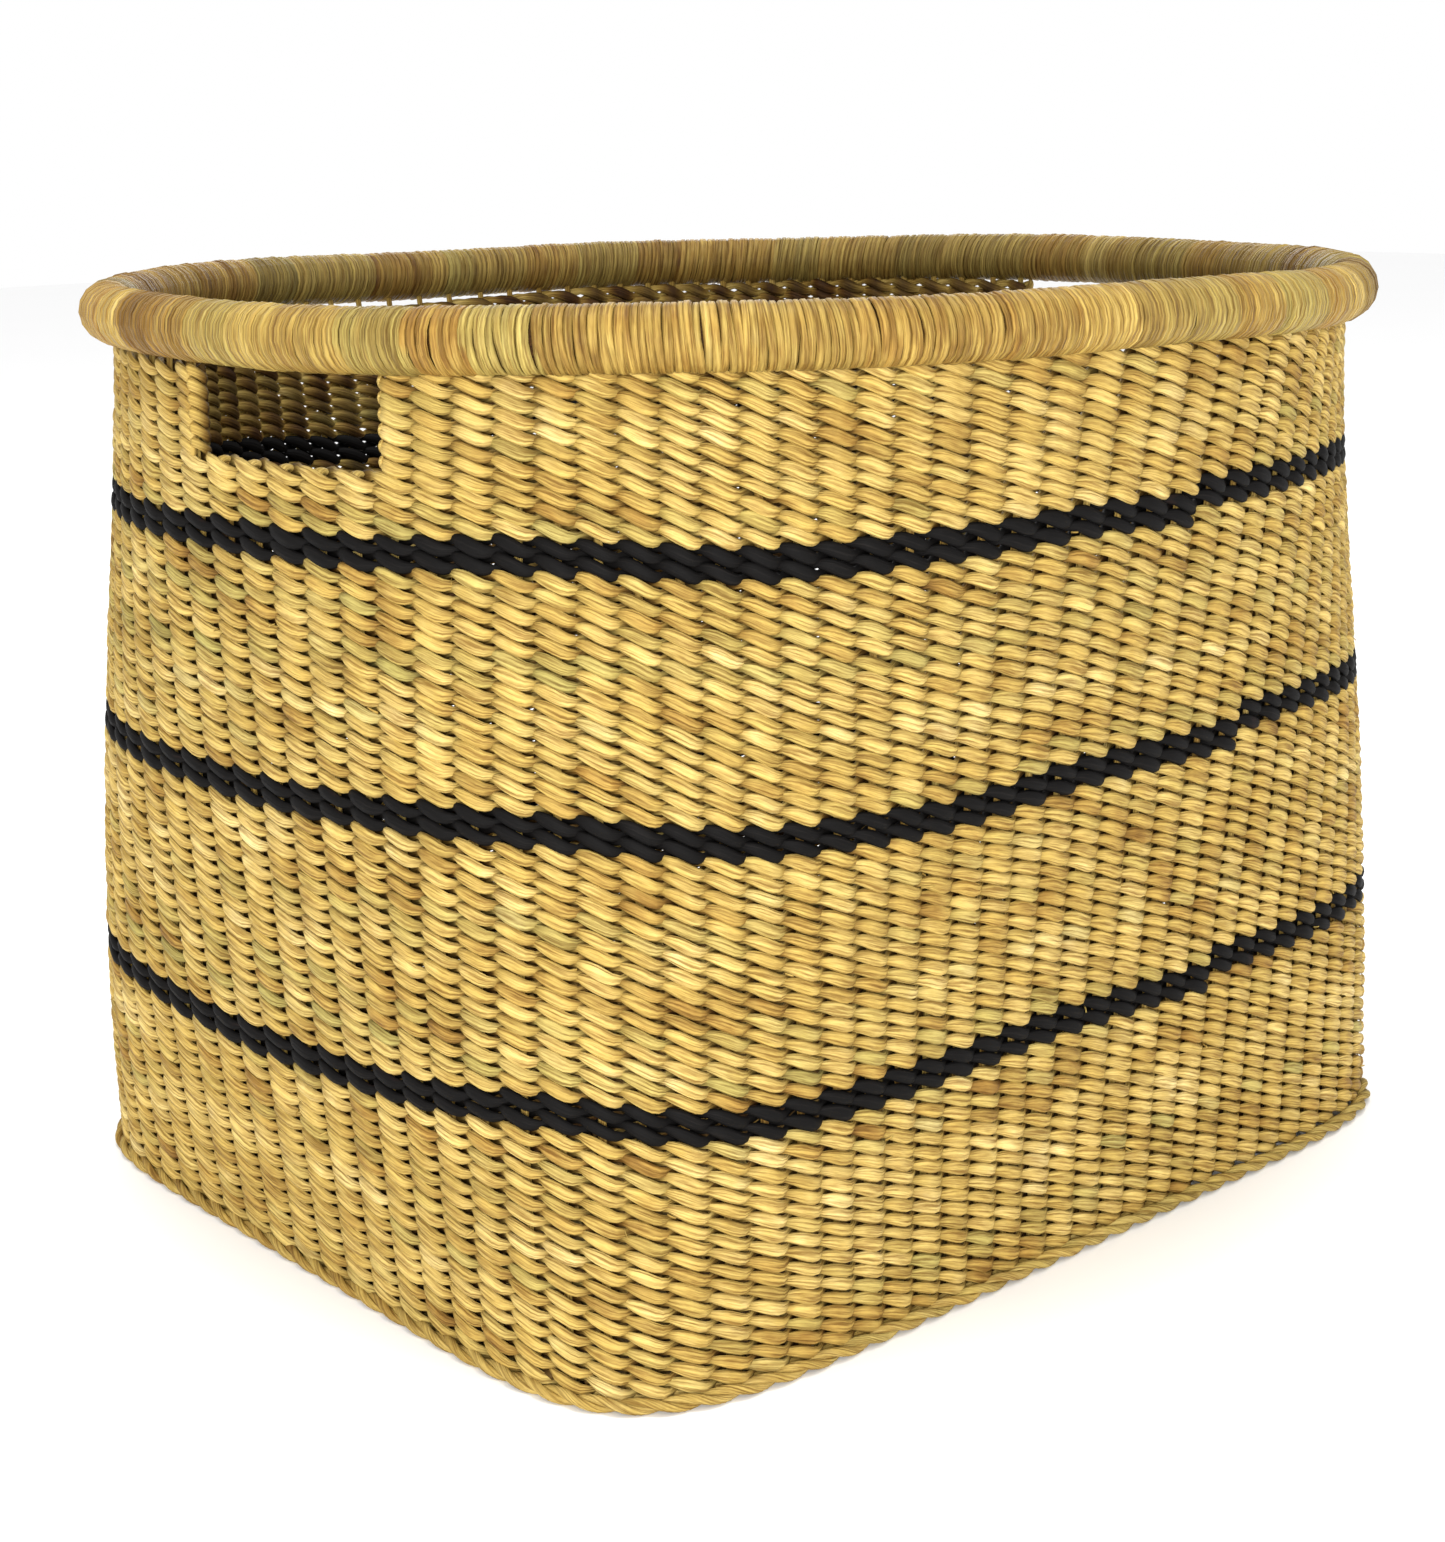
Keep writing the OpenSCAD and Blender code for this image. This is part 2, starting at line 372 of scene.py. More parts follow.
def closeness(angle):
    """Closeness of the stakes, most at the corners: 1.0175 - 0.085 cos 2t - 0.1025 cos 4t."""
    return 1.0175 - 0.085 * np.cos(2 * angle) - 0.1025 * np.cos(4 * angle)


def stake_angle(stake):
    """Polar angle of a stake, or of a place between two, anticlockwise from the +X end.

    The stakes share out the outline half-way up the wall, weighed by their closeness.
    """
    angle = np.radians(np.arange(361.0))
    line = wall_frame(angle, np.full(361, WALL_TOP / 2))[0]
    step = np.linalg.norm(np.diff(line, axis=0), axis=1) * closeness((angle[1:] + angle[:-1]) / 2)
    passed = np.concatenate([[0], np.cumsum(step)])
    turns = np.asarray(stake) / STAKES
    return 2 * math.pi * np.floor(turns) + np.interp(turns % 1 * passed[-1], passed, angle)


def spiral_angle(place):
    """Polar angle of a place on the spiral of rows, which runs clockwise, counted in stakes."""
    return stake_angle(SPIRAL_STAKE - np.asarray(place))


def bump_at(angle, centre, spread):
    """Bell curve round the wall: exp(-(angle - centre)^2 / (2 spread^2)), in degrees."""
    away = (np.degrees(angle) - centre + 180) % 360 - 180
    return np.exp(-0.5 * (away / spread) ** 2)


# Rises and sags of the rows: where they are and how far they spread, in degrees round the wall,
# then millimetres at the low, the middle and the high dyed band. The level shift is the same all
# round, and the rim's own sag is a single place, spread and size.
WAVES = (
    ((34, 214), 8.5, (7.6, 4.0, 2.1)),
    ((173,), 12, (-6.5, -1.4, -2.2)),
    ((18, 198), 8, (-0.6, 2.8, -0.3)),
    ((51, 231), 7, (-1.2, -1.7, -2.0)),
    ((67, 247), 7, (-0.4, -2.2, -0.6)),
    ((261,), 8, (1.0, 0.8, 2.0)),
    ((300,), 11, (-1.6, 1.0, 1.0)),
    ((98,), 14, (-2.0, -5.0, -9.0)),
)
LEVEL_SHIFT = (0.7, 0.4, 0.6)
RIM_SAG = (80, 17, -0.9)


def row_wave(angle, z):
    """How far a row rises or sags at a polar angle: bell curves that fade at the foot and rim."""
    up = np.clip(z / WALL_TOP, 0, 1)
    dyed = [(ROW_EDGES[i] + ROW_EDGES[i + 1]) / 2 / WALL_TOP for i in (1, 3, 5)]
    heights = [0, *dyed, 1]
    wave = np.interp(up, heights, [0, *LEVEL_SHIFT, 0]) + 0 * angle
    for centres, spread, sizes in WAVES:
        size = np.interp(up, heights, [0, *sizes, 0.3 * sizes[-1]])
        for centre in centres:
            wave = wave + size * bump_at(angle, centre, spread)
    centre, spread, size = RIM_SAG
    wave = wave + size * bump_at(angle, centre, spread) * np.clip((up - 0.8) / 0.2, 0, 1)
    ripple = 0.35 * np.sin(5 * angle + 14 * up) + 0.25 * np.sin(11 * angle - 23 * up)
    wave = wave + ripple * np.clip(12 * up, 0, 1)
    return 0.001 * bpy.context.scene.basket_shape.waviness * wave


def row_height(turn):
    """Height of a row's middle after so many turns of the spiral, even between band edges."""
    rows = np.array([rows for name, rows, slot in BANDS])
    edges = np.concatenate([[0], np.cumsum(rows)])
    pitch = np.diff(ROW_EDGES) / rows
    under, over = np.minimum(turn, 0), np.maximum(turn - edges[-1], 0)
    return np.interp(turn, edges, ROW_EDGES) + under * pitch[0] + over * pitch[-1]


# ---------------------------------------------------------------- tubes


def tubes(centre, up, out, half_up, half_out, sides, grain, closed=False):
    """Tubes of oval section about T paths of K points.

    A section is centre + half_up cos v up + half_out sin v out. centre, up and out are (T, K, 3),
    the half sizes (T, K) and grain (T, K, 3). Ends are capped, and faces look outward whichever
    way the paths run.
    """
    count, length = centre.shape[:2]
    turn = 2 * math.pi * np.arange(sides) / sides + math.pi
    rise = (half_up[..., None] * np.cos(turn))[..., None] * up[:, :, None, :]
    reach = (half_out[..., None] * np.sin(turn))[..., None] * out[:, :, None, :]
    verts = (centre[:, :, None, :] + rise + reach).reshape(-1, 3)
    step = np.linalg.norm(np.diff(centre, axis=1), axis=-1)
    along = np.concatenate([np.zeros((count, 1)), np.cumsum(step, 1)], 1)
    girth = float(np.mean(half_up + half_out)) * math.pi
    spans = length if closed else length - 1
    t, i, j = np.meshgrid(np.arange(count), np.arange(spans), np.arange(sides), indexing="ij")
    i1, j1 = (i + 1) % length, (j + 1) % sides
    here, ahead = (t * length + i) * sides, (t * length + i1) * sides
    quads = np.stack([here + j, here + j1, ahead + j1, ahead + j], -1).reshape(-1, 4)
    u0, v0, v1 = along[t, i], j / sides * girth, (j + 1) / sides * girth
    u1 = np.where(i1 > i, along[t, i1], u0 + along[t, 1])
    uv = np.stack([u0, v0, u0, v1, u1, v1, u1, v0], -1).reshape(-1, 2)
    if closed:
        caps = np.zeros((0, sides), int)
    else:
        first = (np.arange(count) * length * sides)[:, None] + np.arange(sides)[::-1]
        last = ((np.arange(count) + 1) * length * sides - sides)[:, None] + np.arange(sides)
        caps = np.concatenate([first, last])
    a, b, c = (verts[quads[:, k]] for k in (0, 1, 2))
    middles = centre.reshape(-1, 3)[quads[:, 0] // sides]
    if np.sum(np.cross(b - a, c - b) * (a - middles)) < 0:
        quads, caps = quads[:, ::-1], caps[:, ::-1]
        uv = uv.reshape(-1, 4, 2)[:, ::-1].reshape(-1, 2)
    grain = np.repeat(grain.reshape(-1, 3), sides, 0)
    return {"verts": verts, "quads": quads, "uv": uv, "caps": caps, "grain": grain}


def tube(centre, up, out, half_up, half_out, sides, grain, closed=False):
    """One tube, from the arrays of a single path; a half size may be one number for all of it."""
    halves = (half + np.zeros(len(centre)) for half in (half_up, half_out))
    arrays = (centre, np.broadcast_to(up, centre.shape), out, *halves)
    return tubes(*(array[None] for array in arrays), sides, grain[None], closed)


def new_piece(name, parts, material, nodes):
    """One mesh object from a list of tube sets, with its strand map, grain and finish."""
    offsets = np.cumsum([0] + [len(p["verts"]) for p in parts])
    verts = np.concatenate([p["verts"] for p in parts])
    quads = np.concatenate([p["quads"] + o for p, o in zip(parts, offsets)])
    caps = [p["caps"] + o for p, o in zip(parts, offsets) if len(p["caps"])]
    sizes = [np.full(len(quads), 4)] + [np.full(len(c), c.shape[1]) for c in caps]
    sizes = np.concatenate(sizes).astype(np.int32)
    loops = np.concatenate([quads.ravel()] + [c.ravel() for c in caps]).astype(np.int32)
    uv = np.concatenate([p["uv"] for p in parts] + [np.zeros((c.size, 2)) for c in caps])
    grain = np.concatenate([p["grain"] for p in parts])
    mesh = bpy.data.meshes.new(name)
    mesh.vertices.add(len(verts))
    mesh.vertices.foreach_set("co", verts.astype(np.float32).ravel())
    mesh.loops.add(len(loops))
    mesh.loops.foreach_set("vertex_index", loops)
    mesh.polygons.add(len(sizes))
    starts = np.concatenate([[0], np.cumsum(sizes)[:-1]]).astype(np.int32)
    mesh.polygons.foreach_set("loop_start", starts)
    mesh.update(calc_edges=True)
    mesh.polygons.foreach_set("use_smooth", np.ones(len(sizes), bool))
    mesh.uv_layers.new(name="Strand").uv.foreach_set("vector", uv.astype(np.float32).ravel())
    colour = np.c_[grain, np.ones(len(grain))].astype(np.float32)
    mesh.attributes.new("grain", "FLOAT_COLOR", "POINT").data.foreach_set("color", colour.ravel())
    mesh.validate()
    mesh.update()
    piece = bpy.data.objects.new(name, mesh)
    bpy.context.scene.collection.objects.link(piece)
    mesh.materials.append(material)
    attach(piece, "root")
    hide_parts(*nodes)


# ---------------------------------------------------------------- strands


def strand_colours(position, rng, patch=(7, 24)):
    """Grain along a strand: which grass it is, how green, and how bright each stitch is.

    A strand is pieced from lengths of grass that change after patch stitches, so shade and green
    are steps along it; brightness has its own random step at every stitch.
    """
    start, stop = int(np.floor(position.min())) - 2, int(np.ceil(position.max())) + 3
    n = stop - start
    lengths = rng.integers(patch[0], patch[1], n // patch[0] + 2)
    grass = np.repeat(np.arange(len(lengths)), lengths)[:n]
    shade = GRASS_SHADE + rng.normal(0, LENGTH_STRAY, len(lengths))
    shade = np.clip(np.clip(shade, 0.02, 0.98)[grass] + rng.normal(0, STITCH_STRAY, n), 0, 1)
    green = np.clip(rng.normal(-0.2, 0.45, len(lengths)), 0, 1)[grass] * rng.uniform(0.4, 1, n)
    light = np.clip(GRASS_LIGHT + rng.normal(0, LIGHT_STRAY, n), 0, 1)
    index = np.rint(position).astype(int) - start
    return np.stack([shade[index], green[index], light[index]], -1)


def grain_over(shape, rng):
    """Grain for an array of points, a new stitch at every point."""
    return strand_colours(np.arange(math.prod(shape), dtype=float), rng).reshape(*shape, 3)


def mottle(angle, z):
    """Lighter and darker patches of the wall: a sum of 30 slow waves in random directions."""
    rng = np.random.default_rng(bpy.context.scene.basket_weave.seed + 700)
    around, upward = rng.integers(-26, 27, 30), rng.uniform(40, 230, 30)
    wave = 0 * angle
    for turns, rise, start in zip(around, upward, rng.uniform(0, 7, 30)):
        wave = wave + np.sin(turns * angle + rise * z + start)
    return 0.017 * wave


def twist(phase):
    """Which side of the stakes a twined strand is on, from 1 outside to -1 inside.

    It is tanh(cos) / tanh(1) + 0.3 sin^2, so the strands cross nearer to the outer face.
    """
    return np.tanh(np.cos(phase)) / np.tanh(1.0) + 0.3 * np.sin(phase) ** 2


def fullness(phase):
    """Height of a stitch as a part of its fullest: pinched between the stakes, full over them."""
    pinch = bpy.context.scene.basket_weave.pinch
    return pinch + (1 - pinch) * np.abs(np.cos(phase)) ** 1.05


def darker(light, part):
    """Brightness with a part of its light taken away."""
    return (light - BLACK) * (1 - part) + BLACK


def paint_inner_shade(grain, swing):
    """Grain with painted shade: the inner side of the wall darker and browner than the outer."""
    # Painted shade: how far a point lies on the inner side, where it is painted darker and
    # browner.
    inside = np.clip(0.35 - 0.65 * swing, 0, 1)
    grain[..., 2] = darker(grain[..., 2], 0.72 * inside)
    grain[..., 0] -= 0.40 * inside
    return grain


def twined_run(start, stop, lead, rng):
    """One strand of the twining from one place on the spiral to another, both counted in stakes.

    It winds about its row half a turn for each stake: the depth follows twist(pi p) and the height
    slant sin(pi p), so it passes outside one stake and inside the next. Below the foot rope's top
    the rows draw in behind the rope.
    """
    w = bpy.context.scene.basket_weave
    points = np.arange(round(start * POINTS_PER_STAKE), round(stop * POINTS_PER_STAKE) + 1)
    p = points / POINTS_PER_STAKE
    angle = spiral_angle(p)
    phase = math.pi * (p + lead)
    swing = twist(phase)
    knots = np.arange(math.floor(start) - 1, math.ceil(stop) + 2)
    uneven = w.unevenness * rng.normal(0, 1, (4, len(knots)))
    high, deep, drift, fat = (np.interp(p, knots, row) for row in uneven)
    half_up = w.strand_height / 2 * fullness(phase) * (1 + 0.07 * high)
    half_out = w.strand_depth / 2 * (0.80 + 0.20 * np.abs(np.cos(phase))) * (1 + 0.06 * fat)
    reach = (WALL_THROUGH - w.strand_depth) / 2 + 0.00012 * deep
    z = row_height(p / STAKES)
    draw_in = DRAW_IN * np.clip((ROW_EDGES[0] + DRAW_OVER - z) / DRAW_HEIGHT, 0, 1)
    z = z + row_wave(angle, z) + w.slant * np.sin(phase) + 0.00022 * drift
    z = np.maximum(z, half_up + FLOOR_GAP)
    centre, out = wall_frame(angle, z, WALL_THROUGH / 2 - reach * swing + draw_in)
    centre[:, 2] = z
    # Painted shade: darker and browner where the strand runs on the inner side of the wall.
    grain = paint_inner_shade(strand_colours(p + lead, rng), swing)
    grain[:, 0] += mottle(angle, z)
    return tube(centre, UPWARD, out, half_up, half_out, STRAND_SIDES, grain)


# Stakes from the middle of a hand hole to its side, just short of the stake beside it, and the
# height over which a row stops at a hole.
HOLE_REACH = (CUT_STAKES + 1) / 2 - 0.15
HOLE_BOTTOM = lowest("hole_stubs_left").z


def hole_spans(first, last):
    """Stretches of the spiral between two places that stay clear of the hand holes.

    A hole takes a stretch out of every turn that passes over the hole's bottom.
    """
    spans, start = [], first
    for turn in range(int(first // STAKES) - 1, int(last // STAKES) + 2):
        for stake in HOLES.values():
            middle = (SPIRAL_STAKE - stake) % STAKES + turn * STAKES
            if row_height(middle / STAKES) > HOLE_BOTTOM:
                spans.append((middle - HOLE_REACH, middle + HOLE_REACH))
    clear = []
    for low, high in sorted(spans):
        if low > start and low < last:
            clear.append((start, low))
        if high > start:
            start = max(start, min(high, last))
    if start < last:
        clear.append((start, last))
    return clear


def weave_band(index, rng, material):
    """Both strands of one band, as two pieces."""
    name, rows, slot = BANDS[index]
    before = sum(count for label, count, finish in BANDS[:index])
    first = before * STAKES + BAND_LEAD[index] - 0.5
    last = (before + rows) * STAKES + BAND_LEAD[index + 1] - 0.5
    if index == 0:
        first -= TURNS_BELOW * STAKES
    if index == len(BANDS) - 1:
        last += TURNS_ABOVE * STAKES
    spans = hole_spans(first, last) if index == len(BANDS) - 1 else [(first, last)]
    nodes = ["weft_outer_" + name, "weft_inner_" + name]
    for lead, label in ((0, "first"), (1, "second")):
        parts = [twined_run(start, stop, lead, rng) for start, stop in spans]
        new_piece(f"weft_{name}_{label}", parts, material, nodes)


# ---------------------------------------------------------------- materials


def node(tree, kind, **inputs):
    made = tree.nodes.new(kind)
    for key, value in inputs.items():
        made.inputs[key.replace("_", " ")].default_value = value
    return made


def strand_texture(tree, along, across, detail=3.0):
    """Noise drawn out along the strand, read from its own map."""
    uv = tree.nodes.new("ShaderNodeUVMap")
    uv.uv_map = "Strand"
    place = node(tree, "ShaderNodeMapping", Scale=(along, across, 1))
    noise = node(tree, "ShaderNodeTexNoise", Scale=1.0, Detail=detail, Roughness=0.6)
    tree.links.new(uv.outputs["UV"], place.inputs["Vector"])
    tree.links.new(place.outputs["Vector"], noise.inputs["Vector"])
    return noise.outputs["Fac"]


def mix_colour(tree, kind, factor, first, second):
    mix = tree.nodes.new("ShaderNodeMix")
    mix.data_type = "RGBA"
    mix.blend_type = kind
    for place, value in ((0, factor), (6, first), (7, second)):
        socket = mix.inputs[place]
        if isinstance(value, bpy.types.NodeSocket):
            tree.links.new(value, socket)
        else:
            socket.default_value = value
    return mix.outputs[2]


def map_range(tree, value, low, high, to_low, to_high):
    scale = node(tree, "ShaderNodeMapRange")
    for socket, number in zip(list(scale.inputs)[1:5], (low, high, to_low, to_high)):
        socket.default_value = number
    tree.links.new(value, scale.inputs[0])
    return scale.outputs[0]


def new_material(name, roughness, specular):
    material = bpy.data.materials.new(name)
    material.use_nodes = True
    shader = material.node_tree.nodes["Principled BSDF"]
    shader.inputs["Roughness"].default_value = roughness
    shader.inputs["Specular IOR Level"].default_value = specular
    return material, material.node_tree, shader


def raise_striations(tree, shader, fine, distance, strength):
    bump = node(tree, "ShaderNodeBump", Strength=strength, Distance=distance)
    tree.links.new(fine, bump.inputs["Height"])
    tree.links.new(bump.outputs["Normal"], shader.inputs["Normal"])


def dried_grass(name, shift=0.0, bright=1.0, roughness=0.6):
    """Dried grass: shade and green from the strand's grain, with fine streaks along it."""
    c = bpy.context.scene.basket_colours
    material, tree, shader = new_material(name, roughness, 0.13)
    grain = tree.nodes.new("ShaderNodeAttribute")
    grain.attribute_name = "grain"
    split = tree.nodes.new("ShaderNodeSeparateColor")
    tree.links.new(grain.outputs["Color"], split.inputs["Color"])
    streak = strand_texture(tree, 50, 1300, 4.0)
    blotch = strand_texture(tree, 90, 160, 2.0)
    shade = tree.nodes.new("ShaderNodeMath")
    shade.operation = "ADD"
    tree.links.new(split.outputs["Red"], shade.inputs[0])
    tree.links.new(map_range(tree, blotch, 0.3, 0.7, shift - 0.10, shift + 0.10), shade.inputs[1])
    ramp = tree.nodes.new("ShaderNodeValToRGB")
    stops = ((0.05, c.brown), (0.28, c.tan), (0.5, c.gold), (0.72, c.straw), (0.97, c.cream))
    while len(ramp.color_ramp.elements) < len(stops):
        ramp.color_ramp.elements.new(0.5)
    for element, (place, colour) in zip(ramp.color_ramp.elements, stops):
        element.position = place
        element.color = (*colour, 1)
    tree.links.new(shade.outputs[0], ramp.inputs["Fac"])
    greenness = map_range(tree, split.outputs["Green"], 0, 1, 0, 0.75)
    greened = mix_colour(tree, "MIX", greenness, ramp.outputs["Color"], (*c.green, 1))
    dark = tree.nodes.new("ShaderNodeCombineColor")
    # Brightness from the grain's blue, which also holds the painted shade of the inner sides.
    light = map_range(tree, split.outputs["Blue"], BLACK, 1, 0, (1 - BLACK) * bright)
    for socket in ("Red", "Green", "Blue"):
        tree.links.new(light, dark.inputs[socket])
    lit = mix_colour(tree, "MULTIPLY", 1.0, greened, dark.outputs["Color"])
    raised = map_range(tree, streak, 0.36, 0.60, 0.0, 1.0)
    lines = mix_colour(tree, "MIX", raised, (0.32, 0.22, 0.12, 1), (1.14, 1.14, 1.14, 1))
    tree.links.new(mix_colour(tree, "MULTIPLY", 0.85, lit, lines), shader.inputs["Base Color"])
    raise_striations(tree, shader, streak, 0.0010, 1.0)
    return material


def dyed_grass(name):
    """Black dyed grass with a faint sheen and a few fibres that took less dye."""
    c = bpy.context.scene.basket_colours
    material, tree, shader = new_material(name, 0.6, 0.06)
    streak = strand_texture(tree, 55, 1500)
    patch = strand_texture(tree, 30, 120, 2.0)
    wear = map_range(tree, streak, 0.55, 0.8, 0, 1)
    worn = mix_colour(tree, "MIX", wear, (*c.black, 1), (0.014, 0.012, 0.011, 1))
    flecks = map_range(tree, patch, 0.66, 0.74, 0, 0.5)
    flecked = mix_colour(tree, "MIX", flecks, worn, (0.035, 0.016, 0.012, 1))
    tree.links.new(flecked, shader.inputs["Base Color"])
    raise_striations(tree, shader, streak, 0.0006, 0.6)
    return material


def floor_paper(name):
    """Plain pale floor with the faintest mottling."""
    c = bpy.context.scene.basket_colours
    material, tree, shader = new_material(name, 0.9, 0.1)
    place = tree.nodes.new("ShaderNodeTexCoord")
    noise = node(tree, "ShaderNodeTexNoise", Scale=3.0, Detail=2.0)
    tree.links.new(place.outputs["Object"], noise.inputs["Vector"])
    shaded_floor = (*(0.99 * v for v in c.floor), 1)
    mottled = mix_colour(tree, "MIX", noise.outputs["Fac"], shaded_floor, (*c.floor, 1))
    tree.links.new(mottled, shader.inputs["Base Color"])
    return material


def finish_named(name, make, **options):
    """A material by name, made the first time that it is asked for."""
    return bpy.data.materials.get(name) or make(name, **options)


def straw_grass():
    return finish_named("straw_grass", dried_grass)


def stake_grass():
    return finish_named("stake_grass", dried_grass, shift=-0.12, bright=0.85)


# ---------------------------------------------------------------- operators


class BASKET_OT_set_stakes(bpy.types.Operator):
    """Stand the 100 wall stakes up, cut short under the hand holes"""

    bl_idname = "basket.set_stakes"
    bl_label = "Set wall stakes"

    def execute(self, context):
        w = context.scene.basket_weave
        rng = np.random.default_rng(w.seed + 100)
        stake = np.arange(STAKES)
        cut = np.zeros(STAKES, bool)
        for hole in HOLES.values():
            cut |= np.abs((stake - hole + STAKES / 2) % STAKES - STAKES / 2) <= CUT_STAKES // 2
        low = lowest("stakes_front").z
        top = np.where(cut, HOLE_BOTTOM, highest("stakes_front").z)
        z = low + (top - low)[:, None] * np.linspace(0, 1, 14)
        angle = stake_angle(stake[:, None] + 0.03 * rng.normal(0, 1, (STAKES, 1))) + 0 * z
        centre, out = wall_frame(angle, z, np.full(z.shape, WALL_THROUGH / 2))
        centre[..., 2] = z
        halves = [np.full(z.shape, size / 2) for size in (w.stake_width, w.stake_depth)]
        grain = grain_over(z.shape, rng)
        parts = tubes(centre, sideways(out), out, *halves, STRAND_SIDES, grain)
        nodes = ["stakes_front", "stakes_right", "stakes_back", "stakes_left"]
        new_piece("wall_stakes", [parts], stake_grass(), nodes)
        return {"FINISHED"}


class BASKET_OT_weave_wall(bpy.types.Operator):
    """Twine the seven bands of the wall, two strands to a row"""

    bl_idname = "basket.weave_wall"
    bl_label = "Weave wall"

    def execute(self, context):
        rng = np.random.default_rng(context.scene.basket_weave.seed)
        for index, (name, rows, slot) in enumerate(BANDS):
            dyed = slot == "dyed_black"
            material = finish_named("black_grass", dyed_grass) if dyed else straw_grass()
            weave_band(index, rng, material)
        return {"FINISHED"}


class BASKET_OT_trim_ends(bpy.types.Operator):
    """Leave a few short cut ends of grass standing out of the wall"""

    bl_idname = "basket.trim_ends"
    bl_label = "Trim ends"

    def execute(self, context):
        w = context.scene.basket_weave
        rng = np.random.default_rng(w.seed + 600)
        rows = ROWS - BANDS[-1][1]
        place = np.rint(rng.uniform(1.0, rows - 1.0, w.loose_ends) * STAKES)[:, None] + 0.5
        s = np.linspace(0, 1, 5)[None, :]
        spread = rng.normal(0, 1, (2, w.loose_ends, 1))
        angle = spiral_angle(place) + 0.006 * spread[0] * s
        level = row_height(place / STAKES)
        z = level + row_wave(angle, level + 0 * s) + 0.0016 * spread[1] * s
        centre, out = wall_frame(angle, z, 0.0022 - 0.0038 * s + 0.0012 * s**2)
        centre[..., 2] = z
        up = np.broadcast_to(UPWARD, centre.shape)
        half = rng.uniform(0.00035, 0.0006, (w.loose_ends, 1)) * (1 - 0.35 * s)
        ends = tubes(centre, up, out, half, 0.7 * half, 6, grain_over(z.shape, rng))
        nodes = ["weft_outer_1_natural", "weft_outer_3_natural", "weft_outer_5_natural"]
        new_piece("cut_ends", [ends], straw_grass(), nodes)
        return {"FINISHED"}


def turned_back_weft(hole, side, bend, rng):
    """The turns of the weft round the last stake at one side of a hand hole, one for each row."""
    w = bpy.context.scene.basket_weave
    middle = (SPIRAL_STAKE - hole) % STAKES
    rows = np.arange(ROWS)
    rows = rows[row_height(middle / STAKES + rows) > HOLE_BOTTOM]
    angle = stake_angle(hole + side * HOLE_REACH) + 0 * rows
    z = row_height((middle + rows * STAKES - side * HOLE_REACH) / STAKES)
    z = (z + row_wave(angle, z))[:, None] + 0 * bend
    centre, out = wall_frame(angle[:, None] + 0 * bend, z, WALL_THROUGH / 2 + 0 * z)
    along = -side * sideways(out)
    reach = (WALL_THROUGH - w.strand_depth) / 2
    centre += reach * np.cos(bend)[:, None] * out + 0.0016 * np.sin(bend)[:, None] * along
    centre[..., 2] = z + w.slant * np.cos(bend)
    tall = w.strand_height / 2 * (0.78 + 0.06 * rng.normal(0, 1, (len(rows), 1))) + 0 * z
    grain = strand_colours(rows.astype(float), rng)[:, None, :] + np.zeros((*z.shape, 3))
    # Painted shade: the turns are painted darker and browner on the inner side of the wall.
    grain = paint_inner_shade(grain, np.cos(bend) + 0 * z)
    up = np.broadcast_to(UPWARD, centre.shape)
    deep = np.full(z.shape, w.strand_depth * 0.46)
    return tubes(centre, up, about(bend, out, along), tall, deep, STRAND_SIDES, grain)


def folded_stakes(hole, bend, rng):
    """The cut stakes under a hand hole, each folded over the row below it."""
    w = bpy.context.scene.basket_weave
    angle = stake_angle(hole + np.arange(CUT_STAKES) - CUT_STAKES // 2)[:, None] + 0 * bend
    centre, out = wall_frame(angle, HOLE_BOTTOM + 0 * angle, WALL_THROUGH / 2 + 0 * angle)
    arch = (WALL_THROUGH - w.strand_depth) / 2
    centre += (arch * np.cos(bend))[None, :, None] * out
    centre[..., 2] = HOLE_BOTTOM - 0.0016 + 0.0026 * np.sin(bend)
    half_wide, half_thick = np.full(angle.shape, 0.0024), np.full(angle.shape, 0.0012)
    grain = grain_over(angle.shape, rng)
    normal = about(bend, out, UPWARD)
    return tubes(centre, sideways(out), normal, half_wide, half_thick, STRAND_SIDES, grain)


class BASKET_OT_finish_hand_holes(bpy.types.Operator):
    """Turn the weft back at the sides of the hand holes and fold the cut stakes over"""

    bl_idname = "basket.finish_hand_holes"
    bl_label = "Finish hand holes"

    def execute(self, context):
        rng = np.random.default_rng(context.scene.basket_weave.seed + 200)
        bend = np.linspace(0, math.pi, 9)
        for label, hole in HOLES.items():
            turns, stubs = "hole_turns_" + label, "hole_stubs_" + label
            runs = [turned_back_weft(hole, side, bend, rng) for side in (-1, 1)]
            new_piece(turns, runs, straw_grass(), [turns])
            new_piece(stubs, [folded_stakes(hole, bend, rng)], straw_grass(), [stubs])
        return {"FINISHED"}


# Points of the wrapped strand on each of its turns, and round the bundle inside it.
WRAP_POINTS = 16
BUNDLE_POINTS = 192


def rim_offset():
    """Distance from the wall's outer face out to the middle of the rim's bundle."""
    low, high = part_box("rim_core")
    return high.x - OUTLINE[2, 0] - (high.z - low.z) / 2


